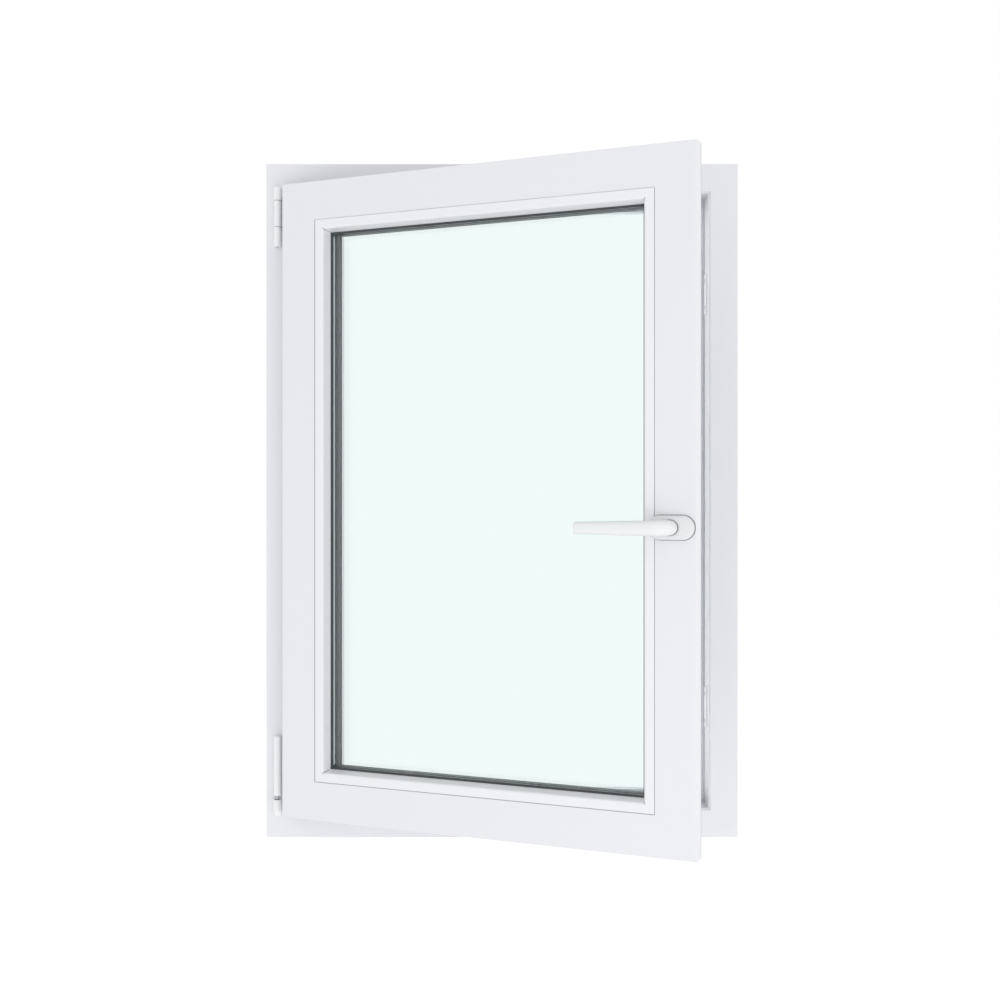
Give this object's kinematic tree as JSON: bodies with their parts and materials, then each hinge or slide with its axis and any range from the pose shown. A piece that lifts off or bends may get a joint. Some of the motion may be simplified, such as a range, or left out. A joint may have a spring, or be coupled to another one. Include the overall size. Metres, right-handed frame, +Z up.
{
  "type": "tilt and turn window",
  "caption": "White PVC-U tilt and turn window: mitred frame, double-glazed sash standing open into the room on left-hand hinges, lever handle, top stay and corner hinge.",
  "frame": {"origin": "centre of the flat underside of the frame's sill, midway in its depth", "axes": "+Z up the frame, +X to the right as seen from the room, +Y outdoors"},
  "size_m": [0.7, 0.3877, 1],
  "materials": {
    "white_pvc": "satin white PVC-U",
    "white_metal": "white powder coat",
    "plated_steel": "zinc plated",
    "black_gasket": "matt extruded rubber",
    "black_sealant": "matt sealant",
    "grey_spacer": "matt dark grey",
    "packer_plastic": "moulded",
    "clear_glass": "clear float glass"
  },
  "bodies": {
    "frame": {"frame_sill": "white_pvc", "frame_head": "white_pvc", "frame_hinge_jamb": "white_pvc", "frame_lock_jamb": "white_pvc", "frame_stop_gasket": "black_gasket", "stay_bearing": "white_metal", "stay_bearing_pin": "plated_steel", "pivot_rest": "white_metal", "lock_strikers": "white_metal"},
    "pivot": {"pivot_bush": "plated_steel"},
    "sash": {"sash_bottom_rail": "white_pvc", "sash_top_rail": "white_pvc", "sash_hinge_stile": "white_pvc", "sash_lock_stile": "white_pvc", "glazing_bead_bottom": "white_pvc", "glazing_bead_top": "white_pvc", "glazing_bead_hinge": "white_pvc", "glazing_bead_lock": "white_pvc", "inner_pane": "clear_glass", "outer_pane": "clear_glass", "spacer_bar": "grey_spacer", "edge_seal": "black_sealant", "inner_glazing_gasket": "black_gasket", "outer_glazing_gasket": "black_gasket", "overlap_gasket": "black_gasket", "glazing_packers": "packer_plastic", "corner_hinge": "plated_steel", "corner_hinge_cover": "white_metal", "corner_ball_pin": "plated_steel", "lock_faceplate": "plated_steel", "locking_cams": "plated_steel", "stay_rail": "plated_steel", "handle_rosette": "white_metal"},
    "stay": {"stay_arm": "plated_steel", "stay_slide_pin": "plated_steel"},
    "handle": {"handle_lever": "white_metal", "handle_spindle": "plated_steel"}
  },
  "joints": [
    {"name": "sash_turn", "type": "hinge", "parent": "frame", "child": "pivot", "pos_m": [-0.3325, -0.041, 0.048], "axis": [0, 0, -1], "range_deg": [-24.25, 65.75]},
    {"name": "sash_tilt", "type": "hinge", "parent": "pivot", "child": "sash", "pos_m": [-0.3325, -0.041, 0.048], "axis": [0.9118, -0.4107, 0], "range_deg": [0, 7]},
    {"name": "stay_swing", "type": "hinge", "parent": "pivot", "child": "stay", "pos_m": [-0.3325, -0.041, 0.925], "axis": [0, 0, -1], "range_deg": [0, 18]},
    {"name": "handle_turn", "type": "hinge", "parent": "sash", "child": "handle", "pos_m": [0.2181, -0.30877, 0.4655], "axis": [-0.4107, -0.9118, 0], "range_deg": [-90, 90]}
  ],
  "couplings": [
    {"joint": "stay_swing", "follows": "sash_tilt", "ratio": 2.535}
  ]
}
